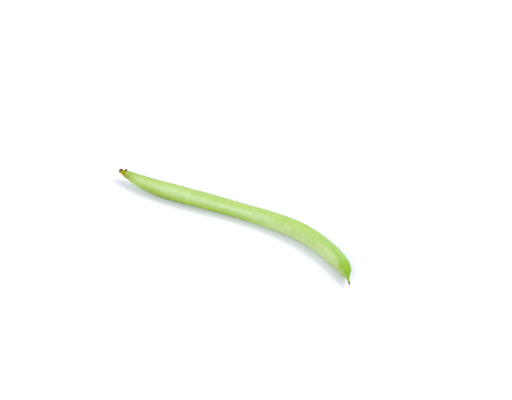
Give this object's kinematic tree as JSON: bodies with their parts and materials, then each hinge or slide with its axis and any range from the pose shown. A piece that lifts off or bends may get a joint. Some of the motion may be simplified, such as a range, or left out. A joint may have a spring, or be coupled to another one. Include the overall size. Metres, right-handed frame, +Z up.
{
  "type": "green bean",
  "caption": "Whole fresh green bean lying on its side: a long, gently bent pod with a narrow neck, dried calyx, stub of stalk and thin curved beak.",
  "frame": {"origin": "on the table, under the middle of the bean's bounding box", "axes": "+X along the chord from the stalk to the beak, +Y towards the outside of the bend, +Z up from the table"},
  "size_m": [0.1532, 0.0254, 0.0099],
  "materials": {
    "pod_skin": "smooth satin, slightly waxy plant skin, yellow-green with pale patches",
    "dried_calyx": "dull dried leaf, orange-brown with darker tips",
    "stalk": "dull olive-green stem with a dark brown broken end",
    "dried_style": "dull dark brown, dried"
  },
  "bodies": {
    "root": {"pod": "pod_skin", "calyx": "dried_calyx", "stalk": "stalk", "style_tip": "dried_style"}
  },
  "joints": []
}
